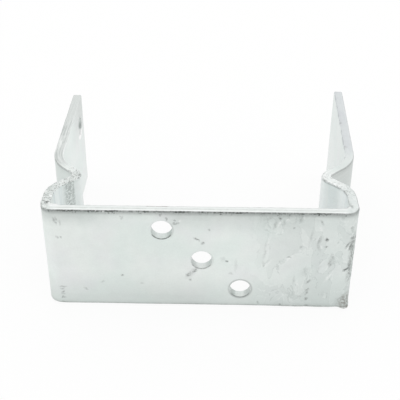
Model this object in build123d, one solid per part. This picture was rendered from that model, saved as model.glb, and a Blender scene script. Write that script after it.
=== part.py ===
from build123d import *
import math
import os

# U bracket bent from one length of galvanised flat steel bar.
# Sizes are in millimetres and degrees.
# The origin is the centre of the middle web hole, on the web's outer face.
# +X runs along the web, +Y runs into the U along the legs, and +Z runs up
# across the bar, so the bracket stands on the lower long edge of the bar.

# flat bar
bar_width = 60.0
bar_thickness = 5.0
bar_edge_radius = 0.8        # rolled corners of the bar's section
cut_end_radius = 0.4         # rims of the two sheared ends

# web and its two square corners
outside_width = 160.0        # over the outer faces of the two corners
corner_inside_radius = 2.0

# crimp pressed into each leg; all bend radii are inside radii
crimp_angle = 47.0           # slope of the crimp's flanks to the leg
crimp_nose_radius = 2.5
front_shoulder_radius = 12.0
rear_shoulder_radius = 20.0
left_crimp_depth = 11.7      # how far the nose is pushed towards the middle
right_crimp_depth = 11.1
left_corner_to_crimp = 7.7   # straight between the corner and the front shoulder
right_corner_to_crimp = 9.3

# legs, measured from the web's outer face
left_leg_length = 128.4
right_leg_length = 137.5
left_leg_step_out = 1.2      # rear stretch outside the line of the front stretch
right_leg_step_out = 4.1
right_leg_splay = 2.0        # rear stretch leans outwards

# bolt holes
web_hole_diameter = 11.0
web_hole_pitch_across = 20.3
web_hole_pitch_down = 18.5
web_hole_shift = 1.2         # middle hole, to the right of the web's middle
leg_hole_diameter = 11.0
leg_hole_from_end = 13.4
leg_hole_above_middle = 15.0


def bend(start, inside_radius, angle):
    """Arc of the bar's middle line, tangent to what it starts from; left turns are positive."""
    return JernArc(start @ 1, start % 1, inside_radius + bar_thickness / 2, angle)


def straight(start, length):
    """Straight run of the bar's middle line, going on from an arc."""
    return Line(start @ 1, start @ 1 + (start % 1) * length)


def flank_length(depth, shoulder_radius, shoulder_turned_to):
    """Straight flank left when a nose and a shoulder bend share the given sideways depth."""
    nose = crimp_nose_radius + bar_thickness / 2
    shoulder = shoulder_radius + bar_thickness / 2
    steep = math.cos(math.radians(crimp_angle))
    flat = math.cos(math.radians(shoulder_turned_to))
    taken_by_bends = nose * (1 - steep) + shoulder * (flat - steep)
    return (depth - taken_by_bends) / math.sin(math.radians(crimp_angle))


def half_bracket(corner_to_crimp, crimp_depth, step_out, splay, leg_length):
    """Middle line of the bar in plan, from the web's middle to the end of the right-hand leg."""
    half_web = outside_width / 2 - bar_thickness - corner_inside_radius
    web = Line((0, bar_thickness / 2), (half_web, bar_thickness / 2))
    corner = bend(web, corner_inside_radius, 90)
    front = straight(corner, corner_to_crimp)
    front_shoulder = bend(front, front_shoulder_radius, crimp_angle)
    front_flank = straight(front_shoulder, flank_length(crimp_depth, front_shoulder_radius, 0))
    nose = bend(front_flank, crimp_nose_radius, -2 * crimp_angle)
    rear_flank = straight(nose, flank_length(crimp_depth + step_out, rear_shoulder_radius, splay))
    rear_shoulder = bend(rear_flank, rear_shoulder_radius, crimp_angle - splay)
    rear_length = (leg_length - (rear_shoulder @ 1).Y) / math.cos(math.radians(splay))
    rear = straight(rear_shoulder, rear_length)
    runs = [web, corner, front, front_shoulder, front_flank, nose, rear_flank, rear_shoulder, rear]
    return Wire(runs)


# middle line of the whole bar, the left half mirrored over the web's middle
right_half = half_bracket(
    right_corner_to_crimp, right_crimp_depth, right_leg_step_out, right_leg_splay, right_leg_length
)
left_half = mirror(
    half_bracket(left_corner_to_crimp, left_crimp_depth, left_leg_step_out, 0, left_leg_length), Plane.YZ
)
middle_line = Wire(left_half.edges() + right_half.edges())

# the bar's section, swept along the middle line from the end of one leg to the other
bar_end = Plane(origin=middle_line @ 0, x_dir=(0, 0, 1), z_dir=middle_line % 0)
section = bar_end * RectangleRounded(bar_width, bar_thickness, bar_edge_radius)
bracket = sweep(section, path=middle_line)

# rims of the two sheared ends
for end in (left_half @ 1, right_half @ 1):
    cut_face = bracket.faces().sort_by_distance(end)[0]
    bracket = fillet(cut_face.edges(), cut_end_radius)

# three bolt holes through the web, falling from left to right
for step in (-1, 0, 1):
    centre = (web_hole_shift + step * web_hole_pitch_across, 0, -step * web_hole_pitch_down)
    bracket -= Pos(*centre) * Rot(90, 0, 0) * Cylinder(web_hole_diameter / 2, 4 * bar_thickness)

# one bolt hole near the end of the left leg
left_end = left_half @ 1
leg_hole_centre = (left_end.X, left_end.Y - leg_hole_from_end, leg_hole_above_middle)
bracket -= Pos(*leg_hole_centre) * Rot(0, 90, 0) * Cylinder(leg_hole_diameter / 2, 4 * bar_thickness)

# the middle web hole becomes the origin
bracket = Pos(-web_hole_shift, 0, 0) * bracket
bracket.label = "u_bracket"

os.makedirs("parts", exist_ok=True)
export_step(bracket, "parts/u_bracket.step")

print(f"bar length {middle_line.length:.1f} mm, volume {bracket.volume:.0f} mm3, valid {bracket.is_valid}")
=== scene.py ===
import math

import bmesh
import bpy
import numpy as np
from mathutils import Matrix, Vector


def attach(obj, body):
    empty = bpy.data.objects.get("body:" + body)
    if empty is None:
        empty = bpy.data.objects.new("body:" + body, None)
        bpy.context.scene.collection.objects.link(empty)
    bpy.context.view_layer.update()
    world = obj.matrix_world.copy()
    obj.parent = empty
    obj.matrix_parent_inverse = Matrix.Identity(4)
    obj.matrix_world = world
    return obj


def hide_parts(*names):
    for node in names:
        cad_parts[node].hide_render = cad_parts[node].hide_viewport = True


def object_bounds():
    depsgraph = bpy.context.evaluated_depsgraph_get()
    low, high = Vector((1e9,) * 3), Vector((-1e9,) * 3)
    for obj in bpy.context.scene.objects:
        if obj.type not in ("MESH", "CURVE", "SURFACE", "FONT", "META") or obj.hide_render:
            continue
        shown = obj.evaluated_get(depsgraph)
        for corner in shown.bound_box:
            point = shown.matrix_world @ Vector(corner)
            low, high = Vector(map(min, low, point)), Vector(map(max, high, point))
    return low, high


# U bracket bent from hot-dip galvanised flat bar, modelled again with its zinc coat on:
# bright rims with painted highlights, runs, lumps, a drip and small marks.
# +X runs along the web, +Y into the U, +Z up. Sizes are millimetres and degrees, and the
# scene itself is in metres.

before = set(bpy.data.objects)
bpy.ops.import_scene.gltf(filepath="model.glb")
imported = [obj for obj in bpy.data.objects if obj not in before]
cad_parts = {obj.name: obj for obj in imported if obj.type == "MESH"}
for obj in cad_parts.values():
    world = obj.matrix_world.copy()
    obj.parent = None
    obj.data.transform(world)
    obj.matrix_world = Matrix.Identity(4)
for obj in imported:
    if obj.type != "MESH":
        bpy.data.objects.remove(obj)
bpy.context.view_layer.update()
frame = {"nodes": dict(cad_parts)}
mm = 0.001
closeBy = 0.01 * mm     # what is nearer to a place than this lies at it
facing = 0.9            # a normal with this much of one direction faces that way
bpy.ops.object.select_all(action="DESELECT")
print("frame loaded:", ", ".join(frame["nodes"]))


def pick(obj):
    bpy.ops.object.select_all(action="DESELECT")
    bpy.context.view_layer.objects.active = obj
    obj.select_set(True)


def startModelling(obj):
    pick(obj)
    bpy.ops.object.mode_set(mode="EDIT")


def endModelling():
    bpy.ops.mesh.select_all(action="DESELECT")
    bpy.ops.object.mode_set(mode="OBJECT")


def selectWhere(obj, kind, test):
    # kind is EDGE or FACE, and test looks at one of them
    bpy.ops.mesh.select_mode(type=kind)
    bpy.ops.mesh.select_all(action="DESELECT")
    mesh = bmesh.from_edit_mesh(obj.data)
    for item in mesh.edges if kind == "EDGE" else mesh.faces:
        if test(item):
            item.select_set(True)
    mesh.select_flush_mode()
    bmesh.update_edit_mesh(obj.data)


def middleOf(edge):
    return (edge.verts[0].co + edge.verts[1].co) / 2


# the bar: its section is extruded and spun along the line of the bracket
barSizes = {
    "width": 60, "thickness": 5, "edgeRadius": 0.8, "endRadius": 0.4,
    "overCorners": 160, "cornerRadius": 2,
    "crimpAngle": 47, "noseRadius": 2.5, "frontShoulderRadius": 12, "rearShoulderRadius": 20,
    "right": {"cornerToCrimp": 9.3, "crimpDepth": 11.1, "stepOut": 4.1, "splay": 2.0, "legLength": 137.5},
    "left": {"cornerToCrimp": 7.7, "crimpDepth": 11.7, "stepOut": 1.2, "splay": 0.0, "legLength": 128.4},
    "webMiddle": -1.2,          # the middle hole is the origin
    "endsBeyond": 120,          # past this y only the sheared ends face +Y
    "rows": 58, "rimRows": 4,   # faces over the width, and over the thickness
    "edgeSegments": 3, "endSegments": 2,
    "step": 1.0, "bendStep": 0.75, "bendTurn": 6,   # length of a face, shorter in bends, and its most turn
    "weld": 0.001,
}
webHoles = [(-20.3, 18.5), (0.0, 0.0), (20.3, -18.5)]
legHole = {"fromEnd": 13.4, "height": 15.0}
holeSizes = {
    "radius": 5.5,
    "patch": 7, "slack": 0.3,   # half width of the faces taken out for a hole, and how far off they may lie
    "ring": 0.9,                # even ring of faces round the hole
    "outerRim": 0.3, "innerRim": 0.2, "rimSegments": 3, "wallCuts": 4,
    "hair": 0.05,               # how exactly the edges of a hole's mouth are found
}


def flankLength(depth, shoulderRadius, turnedTo):
    # straight flank left between a nose and a shoulder that share the depth sideways
    nose = barSizes["noseRadius"] + barSizes["thickness"] / 2
    shoulder = barSizes[shoulderRadius] + barSizes["thickness"] / 2
    steep = math.cos(math.radians(barSizes["crimpAngle"]))
    taken = nose * (1 - steep) + shoulder * (math.cos(math.radians(turnedTo)) - steep)
    return (depth - taken) / math.sin(math.radians(barSizes["crimpAngle"]))


def turned(point, centre, angle):
    # a point in plan, turned round a centre
    off = point - centre
    c, s = math.cos(angle), math.sin(angle)
    return centre + np.array((off[0] * c - off[1] * s, off[0] * s + off[1] * c))


def halfLine(side):
    # runs of the bar's middle line from the web's middle to the end of one leg
    sizes, leg, half = barSizes, barSizes[side], barSizes["thickness"] / 2
    hand = 1 if side == "right" else -1
    radii = ("cornerRadius", "noseRadius", "frontShoulderRadius", "rearShoulderRadius")
    corner, nose, frontShoulder, rearShoulder = (sizes[radius] + half for radius in radii)
    angle = sizes["crimpAngle"]
    webEnd = hand * (sizes["overCorners"] / 2 - corner - half) + sizes["webMiddle"]
    holes = sorted((x for x, z in webHoles if hand * (x - sizes["webMiddle"]) > 0), key=abs)
    stops = [sizes["webMiddle"], *holes, webEnd]
    frontFlank = flankLength(leg["crimpDepth"], "frontShoulderRadius", 0)
    rearFlank = flankLength(leg["crimpDepth"] + leg["stepOut"], "rearShoulderRadius", leg["splay"])
    plan = [("straight", abs(b - a), sizes["step"]) for a, b in zip(stops, stops[1:])]
    plan += [
        ("bend", corner, 90), ("straight", leg["cornerToCrimp"], sizes["bendStep"]),
        ("bend", frontShoulder, angle), ("straight", frontFlank, sizes["bendStep"]),
        ("bend", nose, -2 * angle), ("straight", rearFlank, sizes["bendStep"]),
        ("bend", rearShoulder, angle - leg["splay"]), ("straight", None, sizes["step"]),
    ]
    place = np.array((sizes["webMiddle"], half))
    heading = 0 if hand > 0 else 180
    along, runs = 0, []
    for kind, size, third in plan:      # third is a straight's step or a bend's turn
        way = math.radians(heading)
        ahead = np.array((math.cos(way), math.sin(way)))
        inwards = hand * np.array((-ahead[1], ahead[0]))
        run = {"kind": kind, "start": place, "ahead": ahead, "in": inwards, "along": along}
        if kind == "straight":
            run.update(length=size, step=third, parts=[size])
            if size is None:    # the last run, up to the leg's end, with a ring at the hole
                size = (leg["legLength"] - place[1]) / ahead[1]
                run.update(length=size, parts=[size - legHole["fromEnd"], legHole["fromEnd"]])
            place = place + ahead * size
        else:
            run.update(radius=size, turn=third, length=size * math.radians(abs(third)))
            run["centre"] = place + inwards * math.copysign(size, third)
            place = turned(place, run["centre"], hand * math.radians(third))
            heading += hand * third
        along += run["length"]
        runs.append(run)
    return hand, runs


def placeOnBar(points):
    # along the bar from the web's middle (left leg negative) and across it (inner side positive), in mm
    best = np.full(len(points), np.inf)
    along, across = np.zeros(len(points)), np.zeros(len(points))
    for side in ("left", "right"):
        hand, runs = halfLine(side)
        for run in runs:
            if run["kind"] == "straight":
                off = points - run["start"]
                ahead, inwards = off @ run["ahead"], off @ run["in"]
            else:
                sign = math.copysign(1, run["turn"])
                off = points - run["centre"]
                radius = np.linalg.norm(off, axis=1)
                swept = np.arctan2(off @ run["ahead"], off @ (-sign * run["in"]))
                ahead, inwards = run["radius"] * swept, sign * (run["radius"] - radius)
            outside = np.maximum(np.maximum(-ahead, ahead - run["length"]), 0)
            miss = outside + np.maximum(np.abs(inwards) - barSizes["thickness"] / 2, 0)
            nearer = miss < best - 1e-6     # a tie stays with the run before
            best[nearer] = miss[nearer]
            along[nearer] = hand * (run["along"] + ahead[nearer])
            across[nearer] = inwards[nearer]
    return along, across


def makeBar():
    sizes = barSizes
    middle = (sizes["webMiddle"] * mm, sizes["thickness"] / 2 * mm, 0)
    bpy.ops.mesh.primitive_plane_add(size=1, location=middle, rotation=(0, math.pi / 2, 0))
    bar = bpy.context.active_object
    bar.name = bar.data.name = "galvanised_bracket"
    bpy.ops.object.transform_apply(location=True, rotation=True, scale=True)
    startModelling(bar)
    bpy.ops.mesh.select_all(action="SELECT")
    bpy.ops.transform.resize(value=(1, sizes["thickness"] * mm, sizes["width"] * mm), center_override=middle)
    bpy.ops.mesh.bevel(offset=sizes["edgeRadius"] * mm, segments=sizes["edgeSegments"], affect="VERTICES")
    halfWidth, halfThickness = sizes["width"] / 2 * mm, sizes["thickness"] / 2 * mm
    selectWhere(bar, "EDGE", lambda e: e.calc_length() > halfWidth)
    bpy.ops.mesh.subdivide(number_cuts=sizes["rows"] - 1)
    selectWhere(bar, "EDGE", lambda e: abs(abs(middleOf(e).z) - halfWidth) < closeBy
                and e.calc_length() > halfThickness)
    bpy.ops.mesh.subdivide(number_cuts=sizes["rimRows"] - 1)

    for side in ("right", "left"):
        hand, runs = halfLine(side)
        selectWhere(bar, "FACE", lambda f: abs(f.normal.x) > facing
                    and abs(f.calc_center_median().x - middle[0]) < closeBy)
        for run in runs:
            if run["kind"] == "straight":
                for length in run["parts"]:
                    steps = max(1, round(length / run["step"]))
                    offset = run["ahead"] * length / steps * mm
                    bpy.ops.mesh.extrude_repeat(steps=steps, offset=(offset[0], offset[1], 0))
            else:
                centre = (run["centre"][0] * mm, run["centre"][1] * mm, 0)
                steps = max(round(run["length"] / sizes["bendStep"]),
                            math.ceil(abs(run["turn"]) / sizes["bendTurn"]))
                bpy.ops.mesh.spin(steps=steps, angle=-hand * math.radians(run["turn"]),
                                  center=centre, axis=(0, 0, 1))
    bpy.ops.mesh.select_all(action="SELECT")
    bpy.ops.mesh.remove_doubles(threshold=sizes["weld"] * mm)
    bpy.ops.mesh.normals_make_consistent(inside=False)
    endModelling()
    return bar


def boreHole(bar, centre, axis, name):
    # centre in mm on the bar's middle line; axis 1 goes through the web, 0 through the left leg
    sizes, half = holeSizes, barSizes["thickness"] / 2
    level = 1 - axis
    rowStep = (barSizes["width"] - 2 * barSizes["edgeRadius"]) / barSizes["rows"]
    row = round(centre[2] / rowStep) * rowStep * mm
    slack, hair = sizes["slack"] * mm, sizes["hair"] * mm
    reach = (sizes["patch"] + sizes["slack"]) * mm
    atHole = 1.6 * reach        # takes in the corners of the square patch
    for way in (-1, 1):
        plane = (centre[axis] + way * half) * mm
        middle = [c * mm for c in centre]
        middle[axis] = plane
        selectWhere(bar, "FACE", lambda f: abs(f.normal[axis]) > facing
                    and abs(f.calc_center_median()[axis] - plane) < slack
                    and abs(f.calc_center_median()[level] - middle[level]) < reach
                    and abs(f.calc_center_median().z - row) < reach)
        bpy.ops.mesh.delete(type="FACE")
        for radius in (sizes["radius"] + sizes["ring"], sizes["radius"]):
            selectWhere(bar, "EDGE", lambda e: e.is_boundary and abs(middleOf(e)[axis] - plane) < slack
                        and (middleOf(e) - Vector(middle)).length < atHole)
            bpy.ops.mesh.extrude_region()
            bpy.ops.transform.tosphere(value=1, center_override=middle)
            mesh = bmesh.from_edit_mesh(bar.data)
            ring = [v.co for v in mesh.verts if v.select]
            now = sum((c - Vector(middle)).length for c in ring) / len(ring)
            bpy.ops.transform.resize(value=(radius * mm / now,) * 3, center_override=middle)
    middle = Vector([c * mm for c in centre])
    selectWhere(bar, "EDGE", lambda e: e.is_boundary and (middleOf(e) - middle).length < atHole)
    bpy.ops.mesh.bridge_edge_loops(number_cuts=sizes["wallCuts"], interpolation="LINEAR")
    toMouth = math.hypot(sizes["radius"], half) * mm
    for way, rim in ((-1, sizes["outerRim"]), (1, sizes["innerRim"])):
        plane = (centre[axis] + way * half) * mm
        selectWhere(bar, "EDGE", lambda e: abs(middleOf(e)[axis] - plane) < hair
                    and abs((middleOf(e) - middle).length - toMouth) < 2 * hair
                    and abs((e.verts[0].co - middle).length - (e.verts[1].co - middle).length) < hair)
        bpy.ops.mesh.bevel(offset=rim * mm, segments=sizes["rimSegments"], affect="EDGES")
    print(name, "bored")


def roundEnds(bar):
    # the sheared ends keep a small rounded rim under the zinc
    sizes = barSizes
    for side in (-1, 1):
        selectWhere(bar, "FACE", lambda f: f.normal.y > facing
                    and f.calc_center_median().y > sizes["endsBeyond"] * mm
                    and f.calc_center_median().x * side > 0)
        bpy.ops.mesh.region_to_loop()
        bpy.ops.mesh.bevel(offset=sizes["endRadius"] * mm, segments=sizes["endSegments"], affect="EDGES")


bar = makeBar()
print("bar swept")
startModelling(bar)
for number, (x, z) in enumerate(webHoles):
    boreHole(bar, (x, barSizes["thickness"] / 2, z), 1, f"web hole {number + 1}")
legOut = (barSizes["overCorners"] - barSizes["thickness"]) / 2 + barSizes["left"]["stepOut"]
legHoleMiddle = (barSizes["webMiddle"] - legOut, barSizes["left"]["legLength"] - legHole["fromEnd"],
                 legHole["height"])
boreHole(bar, legHoleMiddle, 0, "leg hole")
roundEnds(bar)
bpy.ops.mesh.select_all(action="SELECT")
bpy.ops.mesh.normals_make_consistent(inside=False)
endModelling()


# the zinc coat: where it is thick, rough or lumpy is set as weights, and displacement raises it
coatSizes = {
    "tightRadius": 6, "squeezeReach": 8,            # bends that squeeze the bar out, and how far along
    "squeezeOut": 0.45, "drawIn": 0.30, "squeezeFrom": 22, "squeezeFull": 30,
    "faceFrom": 2.3,                                # past this across, a point lies on a face
    "cornerEnd": 80,                                # along the bar to the end of the web's corners
    "rimFrom": 27.5, "rimFull": 29.6,
    "leftCrust": (74, 80, 108, 118), "rightCrust": (84, 92, 104, 112),  # along: from, full, full to, to
    "rightShare": 0.5,
    "runsX": (20, 42),                              # x where the runs start and are full
    "bead": 0.55, "beadFrom": 29.0, "beadFull": 29.8, "beadX": (10, 70),
    "markRise": 0.35, "markSpread": 0.6,
    "weightSteps": 20, "cloudDepth": 2, "smoothUnder": 50,
}


def smooth(value, low, high):
    t = np.clip((value - low) / (high - low), 0, 1)
    return t * t * (3 - 2 * t)


def between(value, start, full, fullTo, end):
    return smooth(value, start, full) * (1 - smooth(value, fullTo, end))


def bump(value, middle, reach):
    # 1 at the middle, falling smoothly to 0 at the reach
    return 1 - smooth(np.abs(value - middle), 0, reach)


def readPoints(obj):
    flat = np.zeros(len(obj.data.vertices) * 3)
    obj.data.vertices.foreach_get("co", flat)
    return flat.reshape(-1, 3) / mm


def writePoints(obj, points):
    obj.data.vertices.foreach_set("co", (points * mm).ravel())
    obj.data.update()


# x, z, half length, half width, turn and tone of each mark on the web's outer face;
# a negative tone is dark dross, a positive one a bright ridge of zinc
webMarks = [
    (-2.4, 13.0, 2.0, 0.6, -33, -0.45), (0.6, 10.6, 0.9, 0.9, -36, -0.5), (3.8, 19.2, 0.7, 0.7, -56, -0.3),
    (-20.4, 27.5, 0.7, 0.7, -63, -0.45), (-17.6, 25.3, 1.2, 0.6, -63, -0.45),
    (-13.5, 24.4, 0.8, 0.7, -45, -0.4), (-13.8, 22.6, 0.8, 0.7, -22, -0.4),
    (-12.2, 22.6, 1.3, 0.6, 32, -0.4), (-11.0, 24.1, 0.9, 0.7, 50, 0.35), (-4.9, -8.2, 4.9, 1.6, 49, -0.22),
    (-3.2, -6.8, 1.4, 0.9, 49, -0.4), (-7.0, -9.8, 1.2, 1.2, -69, -0.3),
    (-5.8, -12.8, 0.8, 0.8, -63, -0.35), (13.0, -0.6, 1.0, 0.7, -18, -0.45),
    (14.6, -1.2, 0.9, 0.8, -16, 0.3), (15.2, -8.4, 1.4, 0.8, -3, -0.16), (17.7, -3.0, 4.2, 0.8, 87, -0.12),
    (11.0, 0.9, 1.5, 1.4, 76, -0.12), (36.8, 22.6, 3.3, 0.9, 76, -0.22), (39.0, 26.8, 1.0, 0.9, -41, -0.45),
    (33.8, 26.6, 1.6, 0.8, 41, -0.2), (38.8, 23.5, 2.5, 0.8, 65, 0.25), (33.8, 12.6, 4.9, 0.7, 77, 0.3),
    (33.3, 12.0, 4.7, 0.8, 77, -0.16), (32.3, 4.6, 3.6, 0.8, 81, -0.14), (32.0, -2.4, 2.3, 0.7, -77, -0.22),
    (34.1, -1.7, 3.1, 0.7, 53, 0.28), (33.4, -1.4, 2.8, 0.8, 50, -0.14), (46.3, 20.8, 0.7, 0.8, -63, -0.5),
    (44.6, 2.7, 1.1, 0.6, -5, -0.4), (44.2, 1.8, 1.1, 0.7, 0, 0.3), (50.4, 9.2, 1.2, 0.7, 77, -0.25),
    (50.2, 6.6, 1.0, 0.8, 68, 0.28), (63.2, 14.0, 1.0, 0.8, 6, -0.5), (63.2, 14.0, 1.4, 0.7, -87, -0.45),
    (63.2, 9.6, 1.0, 0.7, 6, -0.35), (59.4, 13.5, 3.1, 1.0, 77, -0.3), (59.4, 9.1, 2.5, 1.0, -74, -0.18),
    (58.8, 14.7, 2.2, 0.6, 71, 0.28), (60.8, 9.3, 1.0, 0.7, -73, 0.25), (67.1, 3.2, 2.5, 1.0, -72, -0.22),
    (65.9, 0.4, 3.6, 1.0, 86, -0.2), (65.9, -1.8, 1.4, 0.9, -80, -0.35), (67.5, -0.5, 1.7, 0.8, 75, -0.14),
    (55.6, -13.1, 1.9, 0.9, 46, -0.3), (55.6, -18.4, 1.3, 0.8, 52, -0.35),
    (55.2, -20.6, 1.5, 0.7, 72, -0.4), (55.2, -24.5, 0.9, 1.2, -21, -0.4),
    (55.6, -29.1, 0.9, 0.8, -16, -0.35), (51.7, -23.0, 1.0, 0.6, -6, -0.18),
    (48.0, -12.2, 3.4, 0.7, 88, -0.12), (49.8, -15.0, 3.5, 0.8, -89, 0.16),
    (53.7, -6.6, 3.7, 2.4, 52, -0.1), (60.6, -3.6, 4.3, 1.0, 71, -0.12), (61.3, -1.4, 3.4, 0.8, 65, 0.18),
    (65.7, -9.8, 3.5, 0.8, 64, 0.25), (55.2, 15.7, 5.7, 0.8, 81, -0.14), (60.1, 24.2, 1.9, 0.7, -64, -0.25),
    (59.6, 20.6, 1.8, 0.8, -74, 0.22), (50.1, 27.0, 2.3, 0.8, -74, -0.22),
    (49.3, 25.6, 1.6, 0.7, -74, -0.2), (50.7, 26.8, 1.7, 0.7, 85, 0.2), (41.2, 23.8, 1.9, 0.7, 84, -0.16),
    (42.6, 25.4, 1.4, 0.8, -81, 0.22), (74.0, -5.4, 1.1, 0.8, 29, -0.75), (75.4, -4.7, 1.4, 0.8, 27, -0.65),
    (76.2, -2.7, 1.5, 1.0, -73, -0.6), (73.9, 10.4, 2.4, 0.7, 61, -0.36), (74.6, 9.6, 2.5, 0.7, 63, 0.3),
    (75.4, 9.1, 2.3, 0.7, 65, -0.36), (76.2, 14.6, 1.2, 1.0, -70, -0.7), (75.3, 20.9, 1.0, 0.9, -53, -0.3),
    (75.9, 9.8, 2.5, 2.0, -69, -0.3), (-41.2, -10.5, 0.9, 0.7, 0, -0.42),
    (-51.8, -15.0, 1.3, 0.6, 17, -0.18), (-31.1, -15.5, 1.0, 0.6, -11, -0.15),
    (-60.8, -19.9, 1.5, 0.6, -39, -0.25), (-72.9, -18.8, 2.1, 0.5, 5, -0.3),
    (-73.2, -20.2, 1.4, 0.5, -6, -0.3), (-73.2, -22.4, 1.2, 0.6, 51, -0.35),
    (-73.2, -23.6, 1.2, 0.6, 0, -0.3), (-73.6, -25.8, 1.2, 0.6, 65, -0.3),
    (-72.9, -26.1, 1.4, 0.5, 6, -0.25), (-73.4, -28.9, 0.9, 0.6, -27, -0.3),
    (-73.8, 23.7, 2.1, 0.7, -68, -0.28), (-72.9, 24.4, 1.7, 0.6, -65, -0.22),
    (-72.6, 21.4, 1.7, 0.6, -58, -0.26), (-71.2, 22.0, 1.8, 0.6, 88, -0.22),
    (-72.1, 21.0, 1.8, 0.6, -74, 0.3), (-73.2, 13.2, 0.9, 0.7, -45, -0.3),
    (-71.4, 13.2, 0.9, 0.6, -82, -0.28), (-39.8, 25.6, 1.4, 0.7, 62, -0.22),
    (-40.6, 26.3, 0.9, 0.6, -69, -0.18), (30.0, -27.4, 1.3, 0.7, -73, -0.3),
    (41.7, -28.8, 0.9, 0.8, -27, -0.3),
]

# place, reach and tone of the small marks off the web's face; the three bright ones at the rims' inner
# corners are painted highlights
spots = [
    ((79.2, 95.2, 30), 1.2, -0.35), ((78.6, 66.7, 30), 1.6, -0.30), ((76.2, 55.5, 30), 1.6, -0.30),
    ((63.7, 38.9, 30), 1.0, -0.60), ((64.0, 31.3, 30), 1.2, -0.70), ((-64.5, 34.1, 30), 1.0, -0.70),
    ((-65.0, 31.5, 30), 1.1, -0.60), ((-77.9, 6.7, 30), 1.4, -0.80), ((-77.5, 10.4, 30), 0.9, -0.50),
    ((-75.5, 4.8, 30), 1.8, 0.9), ((-72.6, 5.2, 30), 1.8, 0.9), ((74.7, 8.9, 30), 0.9, -0.45),
    ((74.8, 6.9, 30), 0.9, -0.55), ((74.8, 5.3, 30), 0.9, -0.6), ((73.4, 5.3, 30), 1.2, 0.8),
]

# place, reach and height of each lump of zinc
lumps = [
    ((76.6, 1.6, -30.0), 4.4, 1.75), ((76.8, 0.6, -25.0), 3.6, 0.9), ((74.6, 1.0, -30.0), 4.0, 0.8),
    ((76.2, 1.6, 14.6), 2.0, 0.5), ((76.0, 1.2, -3.6), 2.0, 0.5), ((75.0, 0.3, 8.0), 2.6, 0.25),
    ((-79.5, 3.0, 29.5), 2.6, 0.6), ((-80.5, 7.5, 29.6), 2.0, 0.4), ((76.5, 5.5, 29.8), 2.2, 0.5),
    ((-73.6, 5.0, 29.8), 2.6, 0.55), ((73.2, 5.4, 29.8), 1.8, 0.4),
    ((-64.2, 34.0, 29.7), 2.2, 0.5), ((-66.5, 36.5, 29.7), 1.8, 0.4), ((62.0, 33.5, 29.7), 1.8, 0.4),
]

points = readPoints(bar)
along, across = placeOnBar(points[:, :2])
x, height = points[:, 0], points[:, 2]      # views, so they follow what moves the points

# the bar is squeezed out at the inside of its tight bends and drawn in at the outside
tightBends = []
for side in ("left", "right"):
    hand, runs = halfLine(side)
    for run in runs:
        if run["kind"] == "bend" and run["radius"] < coatSizes["tightRadius"]:
            tightBends.append((hand * (run["along"] + run["length"] / 2), math.copysign(1, run["turn"])))
for middle, inner in tightBends:
    squeeze = bump(along, middle, coatSizes["squeezeReach"]) * inner * across / (barSizes["thickness"] / 2)
    share = smooth(np.abs(height), coatSizes["squeezeFrom"], coatSizes["squeezeFull"])
    rise = np.where(squeeze > 0, coatSizes["squeezeOut"], coatSizes["drawIn"]) * squeeze * share
    points[:, 2] += np.sign(height) * rise
writePoints(bar, points)

outer = across < -coatSizes["faceFrom"]
onWeb = np.abs(along) < coatSizes["cornerEnd"]
upperRim = smooth(np.abs(height), coatSizes["rimFrom"], coatSizes["rimFull"]) * (height > 0)
leftCrust = between(-along, *coatSizes["leftCrust"])
rightCrust = between(along, *coatSizes["rightCrust"]) * coatSizes["rightShare"]
lowerEdge = smooth(-height, coatSizes["beadFrom"], coatSizes["beadFull"])

coatTextures = [
    # name, size of its cells and height in mm, and where it is
    ("coatSwell", 16.0, 0.16, np.ones(len(points))),
    ("coatRipple", 4.5, 0.05, np.ones(len(points))),
    ("runs", 6.0, 0.42, outer * onWeb * smooth(x, *coatSizes["runsX"])),
    ("rimLumps", 2.4, 0.35, upperRim),
    ("crust", 1.6, 0.55, upperRim * np.maximum(leftCrust, rightCrust)),
]


def weigh(obj, name, weights):
    # a vertex group, with its weights in even steps
    steps = coatSizes["weightSteps"]
    group = obj.vertex_groups.new(name=name)
    for level in range(1, steps + 1):
        chosen = np.nonzero(np.round(weights * steps) == level)[0]
        if len(chosen):
            group.add(chosen.tolist(), level / steps, "REPLACE")


def displace(obj, name, cell, rise, weights):
    # rise in mm, from a cloud pattern
    weigh(obj, name, weights)
    texture = bpy.data.textures.new(name, "CLOUDS")
    texture.noise_scale = cell * mm
    texture.noise_depth = coatSizes["cloudDepth"]
    modifier = obj.modifiers.new(name, "DISPLACE")
    modifier.texture, modifier.texture_coords = texture, "LOCAL"
    modifier.vertex_group = name
    modifier.strength, modifier.mid_level = rise * mm, 0.5
    bpy.ops.object.modifier_apply(modifier=name)


def raiseBy(obj, name, heights):
    # heights in mm straight out from the surface
    most = np.abs(heights).max()
    for sign, groupName in ((1, name + "Up"), (-1, name + "Down")):
        part = np.clip(sign * heights / most, 0, 1)
        if part.max() == 0:
            continue
        weigh(obj, groupName, part)
        modifier = obj.modifiers.new(name, "DISPLACE")
        modifier.vertex_group = groupName
        modifier.strength, modifier.mid_level = sign * most * mm, 0
        bpy.ops.object.modifier_apply(modifier=name)


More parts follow.
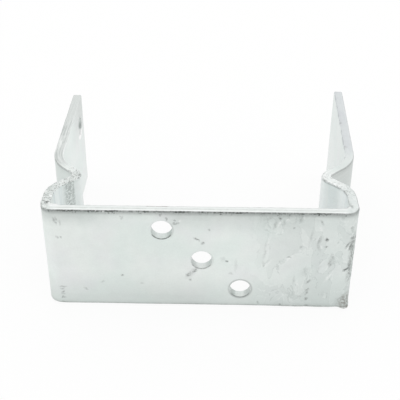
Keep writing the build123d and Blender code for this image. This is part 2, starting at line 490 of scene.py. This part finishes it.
pick(bar)
for row in coatTextures:
    displace(bar, *row)
ridges = np.zeros(len(points))
for markX, markZ, length, width, turn, tone in webMarks:
    c, s = math.cos(math.radians(turn)), math.sin(math.radians(turn))
    u, v = (x - markX) * c + (height - markZ) * s, (height - markZ) * c - (x - markX) * s
    spread = coatSizes["markSpread"]
    near = np.clip(1 - np.hypot(u / (length + spread), v / (width + spread)), 0, 1)
    ridges += coatSizes["markRise"] * tone * near * (outer & onWeb)
raiseBy(bar, "ridges", ridges)
lumpHeights = np.zeros(len(points))
for place, reach, rise in lumps:
    near = np.clip(1 - np.linalg.norm(points - place, axis=1) / reach, 0, 1)
    lumpHeights += rise * smooth(near, 0, 1)
raiseBy(bar, "lumps", lumpHeights)
raiseBy(bar, "bead", coatSizes["bead"] * lowerEdge * smooth(x, *coatSizes["beadX"]) * outer * onWeb)
bpy.ops.object.shade_smooth_by_angle(angle=math.radians(coatSizes["smoothUnder"]))

# what the finish has to know of each point, kept with the mesh
holeMiddles = [(x, barSizes["thickness"] / 2, z) for x, z in webHoles] + [legHoleMiddle]
fromHoles = np.array([np.linalg.norm(points - middle, axis=1) for middle in holeMiddles])
inHole = fromHoles.min(axis=0)
overHole = height - np.array([middle[2] for middle in holeMiddles])[fromHoles.argmin(axis=0)]
for name, values in (("along", along), ("face", across), ("inHole", inHole), ("overHole", overHole)):
    attribute = bar.data.attributes.new(name, "FLOAT", "POINT")
    attribute.data.foreach_set("value", values.astype(np.float32))
bar.vertex_groups.clear()
print("zinc coat laid:", len(bar.data.polygons), "faces")

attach(bar, "root")
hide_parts("u_bracket")


# colours and nodes

def linear(hexCode):
    parts = [int(hexCode[i:i + 2], 16) / 255 for i in (1, 3, 5)]
    return tuple(p / 12.92 if p <= 0.04045 else ((p + 0.055) / 1.055) ** 2.4 for p in parts) + (1,)


def addNode(tree, kind, settings={}, links={}):
    # settings are the node's own properties by name, or its inputs by name or number; a Mix of
    # colours takes them in at inputs 6 and 7 and gives the result at output 2
    node = tree.nodes.new(kind)
    for key, value in settings.items():
        if isinstance(key, str) and key in node.bl_rna.properties:
            setattr(node, key, value)
        else:
            node.inputs[key].default_value = value
    for key, socket in links.items():
        tree.links.new(socket, node.inputs[key])
    return node


def newMaterial(name):
    material = bpy.data.materials.new(name)
    material.use_nodes = True
    material.node_tree.nodes.clear()
    return material, material.node_tree


# Hot-dip galvanised steel: the bar is dipped in molten zinc, which freezes to a pale grey skin.
# It looks half glossy and softly mottled, with thick zinc and painted highlights on the rims, a
# painted dark shadow line under each rim, runs where it drained and small dark specks of dross.
zinc = {
    "base": "#EFF4F1",
    # a measure whose edge wanders: source, noise and how far it wanders in mm
    "wandering": {"ragLevel": ("level", "wander", 1.2), "ragShade": ("level", "blotches", 5.0),
                  "ragZ": ("z", "blotches", 5.0)},
    "raggedCell": 1.5, "raggedDetail": 4.0, "ragged": 1.8,      # how far the marks' outlines wander
    "markReach": 1.3, "markDepth": 3.0, "markTone": 1.5,
    "markBroken": {"From Min": 0.35, "From Max": 0.65, "To Min": 0.4, "To Max": 1.5},   # by the specks
    "markTints": [("#6E7270", -1.0, 1.0), ("#F8FAF9", 0.6, 0.8)],   # colour, tone where it is full, amount
    "drip": {"tint": "#8C8983", "place": (76.5, 1, -27), "reach": (6, 7, 7), "core": 0.6,
             "broken": {"From Min": 0.4, "From Max": 0.6, "To Min": 0.1, "To Max": 0.9}},   # by the flecks
    # source, share and offset of each term: tone and roughness as factors, height in mm
    "tone": [("mottle", 0.10, 0.95), ("grain", 0.08, -0.04)],
    "roughness": [("mottle", 0.10, 0.41)],
    "height": [("mottle", 0.05, 0), ("grain", 0.02, 0), ("marks", 0.06, 0)],
}

# Size of a pattern's cells in mm, all round or along the bar, across it and over its height;
# then its detail, roughness, distortion and output. Zinc on bar this thick freezes in patches of
# 5 to 25 mm. Its real grain and dross are 0.1 to 0.3 mm, too fine to show, so grain, specks and
# flecks are drawn as coarse as about 1 mm.
zincPatterns = {
    "clouds": (26, 2, 0.5, 0, 0), "tints": (18, 2, 0.5, 0, 1), "mottle": (5, 3, 0.6, 0, 0),
    "grain": (0.9, 2, 0.6, 0, 0), "wander": (1.8, 4, 0.7, 0, 0), "blotches": (7, 3, 0.7, 0, 0),
    "specks": (0.9, 2, 0.6, 0, 0), "flecks": (1.2, 2, 0.6, 0, 1), "flow": ((8, 5, 15), 4, 0.55, 0.8, 0),
    "lines": ((16, 0.8, 0.9), 2, 0.5, 0, 0), "drips": ((1.6, 4, 20), 2, 0.5, 0, 0),
}

# Ranges that many layers share: source, from, to, value below and value above. The sources are
# x, y, z, along the bar from the web's middle and face across it; level, onWeb and middle are the
# sizes of z, along and face; inHole is the distance from the nearest hole's middle, and
# overHole the height over it.
outerFace = ("face", -2.2, -1.9, 1, 0)
innerFace = ("face", 1.9, 2.2, 0, 1)
outerEdge = ("face", -2.0, -1.7, 1, 0)
above = ("z", 0, 1, 0, 1)
rimLevel = ("level", 29.2, 29.7, 0, 1)
underRim = ("level", 29.75, 29.95, 1, 0)
offRim = ("level", 28.8, 29.2, 1, 0)
webOnly = ("onWeb", 80, 84, 1, 0)
leftRear = ("along", -128, -116, 1, 0)
leftEnd = ("along", -170, -165, 1, 0)
holeOnly = ("inHole", 6.2, 6.5, 1, 0)

# colour, then every range that has to be met
zincLayers = [
    ("#E5EFEB", [("clouds", 0.35, 0.65, 0.6, 0)]),
    ("#ECEBEE", [("tints", 0.45, 0.7, 0, 0.4)]),
    # painted shade: the right-hand end is darker, away from light on the left, and the web darkens towards
    # its lower edge as the floor's shade shows in it, with a painted dark line along that edge's rounding
    ("#D2D8D6", [("x", 10, 60, 0, 0.50), ("blotches", 0.25, 0.7, 0.8, 1), ("face", 1.9, 2.2, 1, 0.5)]),
    ("#C3CBC8", [("z", -30, -6, 0.5, 0), outerFace, ("onWeb", 80, 88, 1, 0)]),
    ("#C3CBC8", [("ragZ", -24, -22, 0.13, 0), ("x", -76, -70, 0, 1), ("x", -20, 20, 1, 0), outerFace]),
    ("#8A8E8B", [("z", -29.3, -28.6, 0.4, 0), ("blotches", 0.35, 0.6, 0.5, 1), outerFace,
                 ("onWeb", 80, 88, 1, 0)]),
    # painted shade again under the upper rim, right of the first hole, and at the left corner a darker stain
    ("#BCC3C0", [("ragShade", 15, 27, 0, 0.34), ("x", -24, -10, 0, 1), ("x", 40, 60, 1, 0.2), above,
                 outerFace]),
    ("#B4BBB8", [("ragShade", 18, 27, 0, 0.34), ("x", -62, -40, 1, 0), ("onWeb", 78, 84, 1, 0), above,
                 outerFace]),
    # inner faces of the legs are painted lighter, most of all in the front bays: painted light that lifts
    # the shade of their hollows
    ("#FBFEFF", [innerFace, ("onWeb", 79, 84, 0, 0.5), ("onWeb", 84, 90, 0.6, 1),
                 ("onWeb", 118, 125, 1, 0.4)]),
    # with faint blue-grey streaks where the zinc drained
    ("#DCE8EE", [innerFace, ("along", 84, 88, 0, 1), ("along", 108, 112, 1, 0),
                 ("drips", 0.35, 0.7, 0, 0.14)]),
    ("#C8D4D8", [innerFace, ("along", -104, -100, 0, 1), ("along", -88, -82, 1, 0),
                 ("drips", 0.4, 0.7, 0, 0.45)]),
    # the left leg dulls towards its end and its upper edge, and a little round the crimp's nose
    ("#D6DAD8", [innerFace, ("along", -200, -160, 0.95, 0), ("z", 2, 26, 0.1, 0.85)]),
    ("#D6DCDA", [innerFace, ("along", -128, -116, 0, 0.24), ("along", -110, -104, 1, 0)]),
    ("#D6DCDA", [innerFace, ("along", -160, -145, 0, 0.14), ("along", -125, -118, 1, 0),
                 ("z", 0, 20, 0, 1)]),
    # painted shade on the outer side of each crimp, darkest in the fold
    ("#DBE2DF", [outerFace, ("along", -150, -122, 0.3, 1), ("along", -108, -104, 1, 0)]),
    ("#D2D6D4", [outerFace, ("along", 104, 108, 0, 1), ("along", 120, 150, 0.7, 0.3)]),
    ("#F4F7F5", [outerFace, ("along", 112, 116, 0, 1), ("lines", 0.52, 0.64, 0, 0.2),
                 ("along", 125, 145, 1, 0)]),
    # patches where the zinc ran, with a dark and a bright edge, on the web's right half
    ("#C6CECB", [("flow", 0.47, 0.53, 0.19, 0), ("x", 14, 45, 0, 1), outerFace, webOnly]),
    ("#A9B1AE", [("flow", 0.465, 0.49, 0, 0.32), ("flow", 0.49, 0.505, 1, 0), ("x", 18, 40, 0, 1),
                 ("blotches", 0.4, 0.6, 0, 1), outerFace, webOnly]),
    ("#F4F7F5", [("flow", 0.495, 0.51, 0, 0.3), ("flow", 0.515, 0.54, 1, 0), ("x", 18, 40, 0, 1),
                 ("blotches", 0.4, 0.6, 1, 0), outerFace, webOnly]),
    # painted highlight on the web's rims, in long lines where shear marks ridge the zinc, with a duller
    # middle and a grey inner edge of painted shade
    ("#F9FBFA", [rimLevel, ("lines", 0.4, 0.6, 0.45, 0.85), ("onWeb", 112, 125, 1, 0)]),
    ("#D3D8D5", [rimLevel, ("face", -1.4, -0.6, 0, 0.8), ("face", 0.1, 0.6, 1, 0),
                 ("wander", 0.3, 0.7, 0.5, 1), ("onWeb", 70, 76, 1, 0)]),
    ("#DAE0DE", [rimLevel, above, ("along", 72, 75, 0, 0.9), ("along", 94, 104, 1, 0),
                 ("wander", 0.35, 0.65, 0.5, 1)]),
    ("#D9DEDC", [rimLevel, above, ("face", 0.2, 0.8, 0, 0.27), ("onWeb", 70, 76, 1, 0)]),
    ("#9AA09D", [("level", 28.7, 29.3, 0, 0.6), ("face", 1.5, 1.9, 0, 1), ("onWeb", 76, 82, 1, 0),
                 ("wander", 0.3, 0.6, 0.6, 1), above]),
    # a brown-grey streak on the rim's inner edge, above the first hole
    ("#857F79", [("x", -28.5, -27, 0, 1), ("x", -18, -16, 1, 0), ("face", 1.4, 1.8, 0, 1),
                 ("level", 28.9, 29.4, 0, 1), ("specks", 0.35, 0.5, 0.3, 1), above]),
    # the legs' rims are duller behind the crimps, with light and dark lines along them; a painted highlight
    # runs along the left rim's inner edge, and painted shade along the right one's
    ("#DBDFDD", [rimLevel, leftRear, above]),
    ("#D9DDDE", [rimLevel, ("along", 132, 150, 0, 1), above]),
    ("#D3D6D9", [rimLevel, ("tints", 0.5, 0.6, 0, 0.7), ("along", 146, 156, 0, 1), above]),
    ("#F4F7F5", [rimLevel, ("lines", 0.54, 0.62, 0, 0.7), leftRear, ("along", -185, -170, 0.2, 1), above]),
    ("#B4BBB8", [rimLevel, ("lines", 0.36, 0.44, 0.5, 0), leftRear, ("along", -190, -170, 0.2, 1), above]),
    ("#F8FBFA", [("level", 28.6, 29.2, 0, 0.8), ("face", 1.9, 2.3, 0, 1), ("along", -160, -130, 0, 1),
                 leftRear]),
    ("#A3ABAC", [("level", 28.4, 28.9, 0, 0.35), ("face", 1.8, 2.2, 0, 1), ("along", 132, 138, 0, 1), above,
                 ("blotches", 0.5, 0.56, 0, 1)]),
    # painted shade and a painted dark shadow line, ragged and specked, under the outer edge of the rims
    ("#6E7270", [("ragShade", 24, 29.3, 0, 0.15), outerFace, ("onWeb", 84, 100, 1, 0.3),
                 ("z", 0, 1, 0.2, 1)]),
    ("#6E7270", [("ragLevel", 26.8, 29.0, 0, 0.36), outerFace, ("onWeb", 84, 100, 1, 0.2),
                 ("z", 0, 1, 0.3, 1)]),
    ("#4C504D", [("ragLevel", 28.8, 29.3, 0, 0.8), underRim, outerEdge, ("along", -77, -72, 0.12, 1),
                 ("along", 64, 74, 1, 0.3), ("blotches", 0.35, 0.55, 0.6, 1),
                 ("specks", 0.42, 0.54, 0.45, 1), ("z", 0, 1, 0.25, 1)]),
    ("#3F4340", [("level", 27.6, 28.8, 0, 0.8), underRim, outerEdge, ("onWeb", 72, 78, 1, 0),
                 ("specks", 0.54, 0.6, 0, 1), ("blotches", 0.48, 0.56, 0, 1), above]),
    # the painted shadow line goes on more faintly along the legs, outside and then inside the corners
    ("#5E625F", [("level", 28.6, 29.2, 0, 0.25), underRim, outerEdge, ("along", -118, -112, 1, 0),
                 ("along", -136, -126, 0, 1), above]),
    ("#5E625F", [("level", 28.6, 29.2, 0, 0.12), underRim, outerEdge, ("along", 112, 118, 0, 1),
                 ("along", 122, 132, 1, 0.1), above]),
    ("#5E625F", [("ragLevel", 28.4, 29.2, 0, 0.35), ("level", 29.7, 29.9, 1, 0), ("face", 1.7, 2.0, 0, 1),
                 ("along", 76, 79, 0, 1), ("along", 112, 116, 1, 0), ("blotches", 0.4, 0.55, 0.4, 1),
                 above]),
    # bright flecks break the line near the left corner
    ("#F4F7F5", [("ragLevel", 28.5, 29.1, 0, 0.85), underRim, outerEdge, ("x", -60, -50, 0, 1),
                 ("x", -36, -28, 1, 0.3), ("onWeb", 60, 70, 1, 0), ("flecks", 0.58, 0.63, 0, 1), above]),
    # the right corner's edge is dark and pitted at mid-height
    ("#7F8481", [outerFace, ("along", 74.6, 76.4, 0, 0.6), ("along", 80, 83, 1, 0), ("z", -16, -10, 0, 1),
                 ("z", 13, 17, 1, 0), ("flecks", 0.4, 0.58, 0.1, 1)]),
    # crust on the left corner and crimp, and a little on the right nose
    ("#D3D9D6", [rimLevel, above, ("along", -120, -110, 0, 0.85), ("along", -77, -71, 1, 0),
                 ("blotches", 0.3, 0.6, 1, 0.6)]),
    ("#8A8E8B", [("level", 28.8, 29.4, 0, 0.65), ("along", -122, -114, 0, 1), ("along", -79, -73, 1, 0),
                 ("specks", 0.51, 0.6, 0, 1)]),
    ("#FBFDFC", [("level", 28.8, 29.4, 0, 0.8), ("along", -125, -115, 0, 1), ("along", -79, -73, 1, 0),
                 ("flecks", 0.55, 0.62, 0, 1)]),
    ("#8A8E8B", [("level", 28.8, 29.4, 0, 0.35), ("along", 84, 94, 0, 1), ("along", 112, 120, 1, 0),
                 ("specks", 0.54, 0.6, 0, 1)]),
    # painted shade, flecked, on the inside of the left crimp's front flank, fading towards the bottom
    ("#7F8683", [("along", -107, -105.5, 0, 0.48), ("along", -102, -98.5, 1, 0), innerFace,
                 ("z", 4, 12, 0.2, 1), ("flecks", 0.4, 0.56, 0.1, 1)]),
    # a painted highlight makes the walls of the holes white at the sides; they are duller below, with a dark
    # lower rim
    ("#FFFFFF", [("middle", 2.2, 2.4, 1, 0), holeOnly, ("overHole", -2.0, 0.2, 0, 1),
                 ("onWeb", 60, 70, 1, 0)]),
    ("#B4B9B7", [("middle", 2.2, 2.4, 0.3, 0), offRim, holeOnly, ("overHole", -2.0, 0.2, 1, 0)]),
    ("#8E9491", [("middle", 2.2, 2.4, 0.22, 0), offRim, holeOnly, ("overHole", -5.3, -4.5, 0, 1),
                 ("overHole", -2.6, -0.6, 1, 0), ("wander", 0.3, 0.6, 0.5, 1)]),
    ("#4C504D", [("inHole", 5.8, 6.0, 0, 0.8), holeOnly, ("face", -2.1, -1.8, 1, 0),
                 ("overHole", -3.8, -2.0, 1, 0), ("x", -14, -4, 1, 0.65), ("wander", 0.3, 0.5, 0.5, 1)]),
    # a soft dark ring on the face round the holes, strongest at the third
    ("#6E7270", [("inHole", 5.9, 6.4, 0, 0.25), ("inHole", 6.5, 7.4, 1, 0), outerEdge,
                 ("x", 12, 16, 0, 1)]),
    ("#6E7270", [("inHole", 5.9, 6.3, 0, 0.2), ("inHole", 6.5, 7.2, 1, 0), outerEdge, ("x", -17, -15, 0, 1),
                 ("x", -13, -10, 1, 0)]),
    ("#6E7270", [("inHole", 5.9, 6.3, 0, 0.12), ("inHole", 6.5, 7.2, 1, 0), outerEdge, ("x", 2, 5, 0, 1)]),
    # painted shade inside the leg's hole, all but the bottom of its wall, which gets a painted highlight
    ("#7A7F7C", [("inHole", 6.3, 9, 0.1, 0), leftEnd, ("y", 113, 116, 0.2, 1),
                 ("overHole", -4.8, -3.0, 0, 1)]),
    ("#6E7270", [("inHole", 6.3, 7.5, 0.2, 0), leftEnd, ("y", 113, 116, 0.2, 1),
                 ("overHole", -4.8, -3.0, 0, 1), ("overHole", -1, 2, 1, 0)]),
    ("#FFFFFF", [("inHole", 7.8, 9.3, 1, 0), leftEnd, ("overHole", -4.8, -3.0, 1, 0)]),
]


def zincSources(tree):
    # everything that a range can ask about, by name, and the place itself in mm
    coords = addNode(tree, "ShaderNodeTexCoord").outputs["Object"]
    coords = addNode(tree, "ShaderNodeVectorMath", {"operation": "SCALE", "Scale": 1 / mm}, {0: coords})
    coords = coords.outputs[0]
    axes = addNode(tree, "ShaderNodeSeparateXYZ", {}, {0: coords}).outputs
    sources = {"place": coords, "x": axes[0], "y": axes[1], "z": axes[2]}
    for name in ("along", "face", "inHole", "overHole"):
        sources[name] = addNode(tree, "ShaderNodeAttribute", {"attribute_name": name}).outputs["Fac"]
    for name, source in (("level", "z"), ("onWeb", "along"), ("middle", "face")):
        size = addNode(tree, "ShaderNodeMath", {"operation": "ABSOLUTE"}, {0: sources[source]})
        sources[name] = size.outputs[0]
    onBar = addNode(tree, "ShaderNodeCombineXYZ", {},
                    {0: sources["along"], 1: sources["face"], 2: sources["z"]}).outputs[0]
    for name, (cell, detail, rough, distortion, output) in zincPatterns.items():
        place, scale = coords, 1.0
        if isinstance(cell, tuple):
            place = addNode(tree, "ShaderNodeVectorMath", {"operation": "DIVIDE", 1: cell}, {0: onBar})
            place = place.outputs[0]
        else:
            scale = 1 / cell
        noise = addNode(tree, "ShaderNodeTexNoise",
                        {"Scale": scale, "Detail": detail, "Roughness": rough, "Distortion": distortion},
                        {"Vector": place})
        sources[name] = noise.outputs[output]
    for name, (source, noise, reach) in zinc["wandering"].items():
        offset = addNode(tree, "ShaderNodeMath", {"operation": "MULTIPLY_ADD", 1: reach, 2: -reach / 2},
                         {0: sources[noise]}).outputs[0]
        sources[name] = addNode(tree, "ShaderNodeMath", {"operation": "ADD"},
                                {0: sources[source], 1: offset}).outputs[0]
    return sources


def layColours(tree, sources):
    # the base with every layer mixed over it, as far as all of the layer's ranges are met
    colour = None
    for tint, ranges in zincLayers:
        amount = None
        for source, low, high, atLow, atHigh in ranges:
            part = addNode(tree, "ShaderNodeMapRange",
                           {"interpolation_type": "SMOOTHSTEP", "From Min": low, "From Max": high,
                            "To Min": atLow, "To Max": atHigh}, {"Value": sources[source]}).outputs[0]
            if amount is not None:
                part = addNode(tree, "ShaderNodeMath", {"operation": "MULTIPLY"},
                               {0: amount, 1: part}).outputs[0]
            amount = part
        mixed = addNode(tree, "ShaderNodeMix",
                        {"data_type": "RGBA", 6: linear(zinc["base"]), 7: linear(tint)}, {0: amount})
        if colour is not None:
            tree.links.new(colour, mixed.inputs[6])
        colour = mixed.outputs[2]
    return colour


def wanderedPlace(tree, sources):
    # the place in mm, shifted a little here and there, so that the marks get ragged outlines
    noise = addNode(tree, "ShaderNodeTexNoise",
                    {"Scale": 1 / zinc["raggedCell"], "Detail": zinc["raggedDetail"]},
                    {"Vector": sources["place"]}).outputs["Color"]
    shifted = addNode(tree, "ShaderNodeVectorMath",
                      {"operation": "MULTIPLY_ADD", 1: (zinc["ragged"],) * 3},
                      {0: noise, 2: sources["place"]}).outputs[0]
    return addNode(tree, "ShaderNodeVectorMath", {"operation": "SUBTRACT", 1: (zinc["ragged"] / 2,) * 3},
                   {0: shifted}).outputs[0]


def addMarks(tree, sources, shifted):
    # the marks, each a soft spot, added up into one tone: dark below 0, bright above
    marks = [((x, 0, z), (length, zinc["markDepth"], width), turn, tone * zinc["markTone"])
             for x, z, length, width, turn, tone in webMarks]
    marks += [(place, (reach,) * 3, 0, tone) for place, reach, tone in spots]
    tone = None
    for place, reach, turn, strength in marks:
        here = addNode(tree, "ShaderNodeMapping",
                       {"vector_type": "TEXTURE", "Location": place, "Rotation": (0, -math.radians(turn), 0),
                        "Scale": [r * zinc["markReach"] for r in reach]}, {"Vector": shifted}).outputs[0]
        spot = addNode(tree, "ShaderNodeTexGradient", {"gradient_type": "SPHERICAL"}, {0: here})
        added = addNode(tree, "ShaderNodeMath", {"operation": "MULTIPLY_ADD", 1: strength, 2: 0.0},
                        {0: spot.outputs["Fac"]})
        if tone is not None:
            tree.links.new(tone, added.inputs[2])
        tone = added.outputs[0]
    specks = addNode(tree, "ShaderNodeMapRange", zinc["markBroken"], {"Value": sources["specks"]})
    return addNode(tree, "ShaderNodeMath", {"operation": "MULTIPLY"},
                   {0: tone, 1: specks.outputs[0]}).outputs[0]


def galvanised():
    material, tree = newMaterial("hot-dip_galvanised_steel")
    sources = zincSources(tree)
    colour = layColours(tree, sources)
    shifted = wanderedPlace(tree, sources)
    sources["marks"] = addMarks(tree, sources, shifted)
    for tint, full, amount in zinc["markTints"]:
        part = addNode(tree, "ShaderNodeMapRange", {"From Min": 0.0, "From Max": full, "To Max": amount},
                       {"Value": sources["marks"]}).outputs[0]
        colour = addNode(tree, "ShaderNodeMix", {"data_type": "RGBA", 7: linear(tint)},
                         {0: part, 6: colour}).outputs[2]

    # brown-grey mottled drip at the lower right corner
    drip = zinc["drip"]
    here = addNode(tree, "ShaderNodeMapping",
                   {"vector_type": "TEXTURE", "Location": drip["place"], "Scale": drip["reach"]},
                   {"Vector": shifted}).outputs[0]
    spot = addNode(tree, "ShaderNodeTexGradient", {"gradient_type": "SPHERICAL"}, {0: here}).outputs["Fac"]
    spot = addNode(tree, "ShaderNodeMapRange", {"From Max": drip["core"]}, {"Value": spot}).outputs[0]
    patches = addNode(tree, "ShaderNodeMapRange", drip["broken"], {"Value": sources["flecks"]}).outputs[0]
    amount = addNode(tree, "ShaderNodeMath", {"operation": "MULTIPLY"}, {0: spot, 1: patches}).outputs[0]
    colour = addNode(tree, "ShaderNodeMix", {"data_type": "RGBA", 7: linear(drip["tint"])},
                     {0: amount, 6: colour}).outputs[2]

    # fine unevenness of tone, roughness and height
    totals = {}
    for name in ("tone", "roughness", "height"):
        total = None
        for source, share, offset in zinc[name]:
            term = addNode(tree, "ShaderNodeMath", {"operation": "MULTIPLY_ADD", 1: share, 2: offset},
                           {0: sources[source]}).outputs[0]
            if total is not None:
                term = addNode(tree, "ShaderNodeMath", {"operation": "ADD"}, {0: total, 1: term}).outputs[0]
            total = term
        totals[name] = total
    colour = addNode(tree, "ShaderNodeHueSaturation", {},
                     {"Color": colour, "Value": totals["tone"]}).outputs[0]
    bumped = addNode(tree, "ShaderNodeBump", {"Strength": 1.0, "Distance": mm},
                     {"Height": totals["height"]}).outputs[0]
    shader = addNode(tree, "ShaderNodeBsdfPrincipled", {"Metallic": 1.0},
                     {"Base Color": colour, "Roughness": totals["roughness"], "Normal": bumped})
    addNode(tree, "ShaderNodeOutputMaterial", {}, {0: shader.outputs[0]})
    return material


bar.data.materials.clear()
bar.data.materials.append(galvanised())
print("zinc finish made")


# stage: pale floor, white studio, soft lamps; the floor's size is in metres
stageSettings = {"floorSize": 6.0, "floor": "#FBFBFA", "shadowShare": 0.11, "ambient": 1.0}


def seenRay(tree):
    # 1 for what the camera sees, straight on or in a gloss or through glass
    path = addNode(tree, "ShaderNodeLightPath").outputs
    first = addNode(tree, "ShaderNodeMath", {"operation": "MAXIMUM"},
                    {0: path["Is Camera Ray"], 1: path["Is Glossy Ray"]}).outputs[0]
    return addNode(tree, "ShaderNodeMath", {"operation": "MAXIMUM"},
                   {0: first, 1: path["Is Transmission Ray"]}).outputs[0]


# Matt white paper: it looks even and bright, and takes only a faint soft shadow of the bracket.
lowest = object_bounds()[0]
bpy.ops.mesh.primitive_plane_add(size=stageSettings["floorSize"], location=(0, 0, lowest.z))
floor = bpy.context.active_object
floor.name = "floor"
material, tree = newMaterial("matt_white_paper")
diffuse = addNode(tree, "ShaderNodeBsdfDiffuse", {"Color": linear(stageSettings["floor"])})
glow = addNode(tree, "ShaderNodeEmission", {"Color": (1, 1, 1, 1), "Strength": 1.0})
share = addNode(tree, "ShaderNodeMath", {"operation": "MULTIPLY", 1: 1 - stageSettings["shadowShare"]},
                {0: seenRay(tree)})
both = addNode(tree, "ShaderNodeMixShader", {},
               {0: share.outputs[0], 1: diffuse.outputs[0], 2: glow.outputs[0]})
addNode(tree, "ShaderNodeOutputMaterial", {}, {0: both.outputs[0]})
floor.data.materials.append(material)

world = bpy.data.worlds.new("white studio")
bpy.context.scene.world = world
world.use_nodes = True
tree = world.node_tree
tree.nodes.clear()
soft = addNode(tree, "ShaderNodeBackground", {"Color": (1, 1, 1, 1), "Strength": stageSettings["ambient"]})
white = addNode(tree, "ShaderNodeBackground", {"Color": (1, 1, 1, 1), "Strength": 1.0})
both = addNode(tree, "ShaderNodeMixShader", {}, {0: seenRay(tree), 1: soft.outputs[0], 2: white.outputs[0]})
addNode(tree, "ShaderNodeOutputWorld", {}, {0: both.outputs[0]})

lamps = {
    # place and aim in metres, size in metres, power in watts
    "overhead": ((0.0, 0.10, 1.1), (0, 0.05, 0), 1.2, 0.3),
    "rear": ((0.6, 1.0, 0.25), (-0.05, 0.08, 0), 0.8, 0.3),
}
for name, (place, aim, size, power) in lamps.items():
    data = bpy.data.lights.new(name, "AREA")
    data.size, data.energy = size, power
    lamp = bpy.data.objects.new(name, data)
    lamp.location = place
    lamp.rotation_euler = (Vector(aim) - Vector(place)).to_track_quat("-Z", "Y").to_euler()
    bpy.context.scene.collection.objects.link(lamp)

cameraSettings = {
    "place": (5.58, -348.22, 264.41), "turn": (56.8427, -0.1759, 1.1767),
    "lens": 76.41, "sensor": 36, "clipStart": 10,
}
cameraData = bpy.data.cameras.new("camera")
cameraData.lens, cameraData.sensor_width = cameraSettings["lens"], cameraSettings["sensor"]
cameraData.clip_start = cameraSettings["clipStart"] * mm
camera = bpy.data.objects.new("camera", cameraData)
camera.location = [v * mm for v in cameraSettings["place"]]
camera.rotation_euler = [math.radians(v) for v in cameraSettings["turn"]]
bpy.context.scene.collection.objects.link(camera)
bpy.context.scene.camera = camera
bpy.context.scene.view_settings.view_transform = "Standard"
print("stage set")
